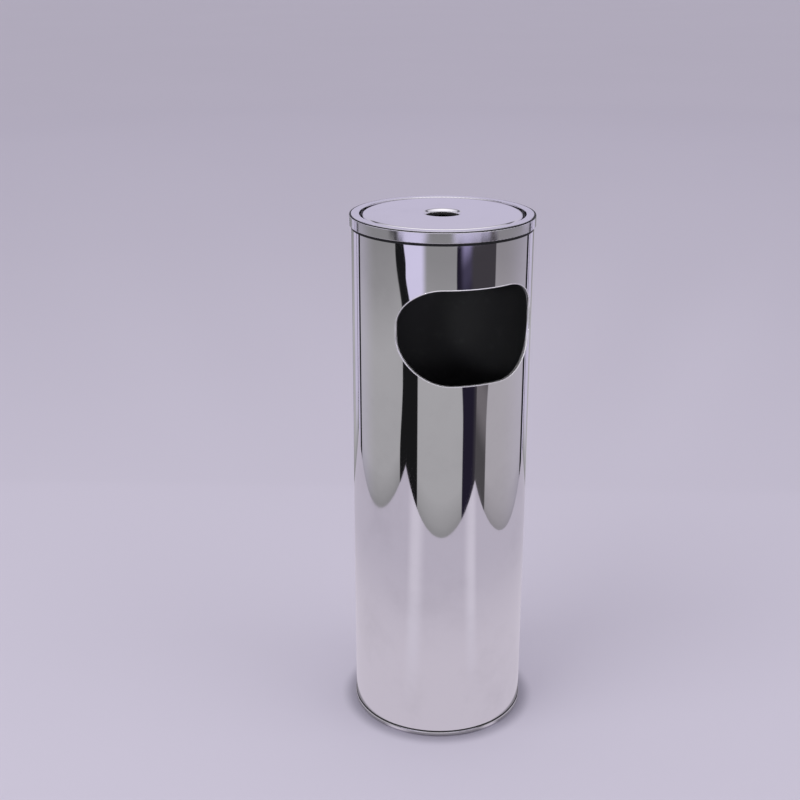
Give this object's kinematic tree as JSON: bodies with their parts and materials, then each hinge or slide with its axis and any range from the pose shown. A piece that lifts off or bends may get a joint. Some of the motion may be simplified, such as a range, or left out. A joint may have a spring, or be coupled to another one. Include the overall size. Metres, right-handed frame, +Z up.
{
  "type": "ashtray bin",
  "caption": "Round free-standing steel litter bin with an opening in its side and an ash bowl under a lift-off lid with a central hole.",
  "frame": {"origin": "centre of the bin on the floor, under its feet", "axes": "+Z up along the tube's axis, -Y out of the centre of the litter opening, +X to the right as seen from in front of the opening"},
  "size_m": [0.2, 0.2, 0.59],
  "materials": {
    "polished_steel": "mirror-polished stainless steel",
    "satin_steel": "satin stainless steel",
    "zinc_plate": "bright zinc plating",
    "black_coating": "satin black powder coating",
    "black_plastic": "moulded, fine grain",
    "black_rubber": "matt"
  },
  "bodies": {
    "body": {"outer_tube": "polished_steel", "opening_trim": "polished_steel", "base_ring": "satin_steel", "base_gasket": "black_rubber", "bottom_plate": "zinc_plate", "feet": "black_rubber", "foot_screws": "zinc_plate", "foot_washers": "zinc_plate", "foot_nuts": "zinc_plate"},
    "head": {"rim_plate": "satin_steel", "rim_band": "satin_steel", "collar": "black_plastic"},
    "bowl": {"ash_bowl": "black_coating"},
    "lid": {"lid_plate": "polished_steel", "lid_skirt": "polished_steel"},
    "bucket": {"bucket_shell": "black_coating", "bucket_bottom": "black_coating", "bail_ears": "zinc_plate", "ear_rivets": "zinc_plate"},
    "bail": {"bucket_bail": "zinc_plate"}
  },
  "joints": [
    {"name": "head_lift", "type": "slide", "parent": "body", "child": "head", "axis": [0, 0, 1], "range_m": [0, 0.12]},
    {"name": "bowl_lift", "type": "slide", "parent": "head", "child": "bowl", "axis": [0, 0, 1], "range_m": [0, 0.08]},
    {"name": "lid_lift", "type": "slide", "parent": "bowl", "child": "lid", "axis": [0, 0, 1], "range_m": [0, 0.06]},
    {"name": "bucket_lift", "type": "slide", "parent": "body", "child": "bucket", "axis": [0, 0, 1], "range_m": [0, 0.16]},
    {"name": "bail_swing", "type": "hinge", "parent": "bucket", "child": "bail", "pos_m": [0, 0, 0.3543], "axis": [1, 0, 0], "range_deg": [0, 180]}
  ]
}
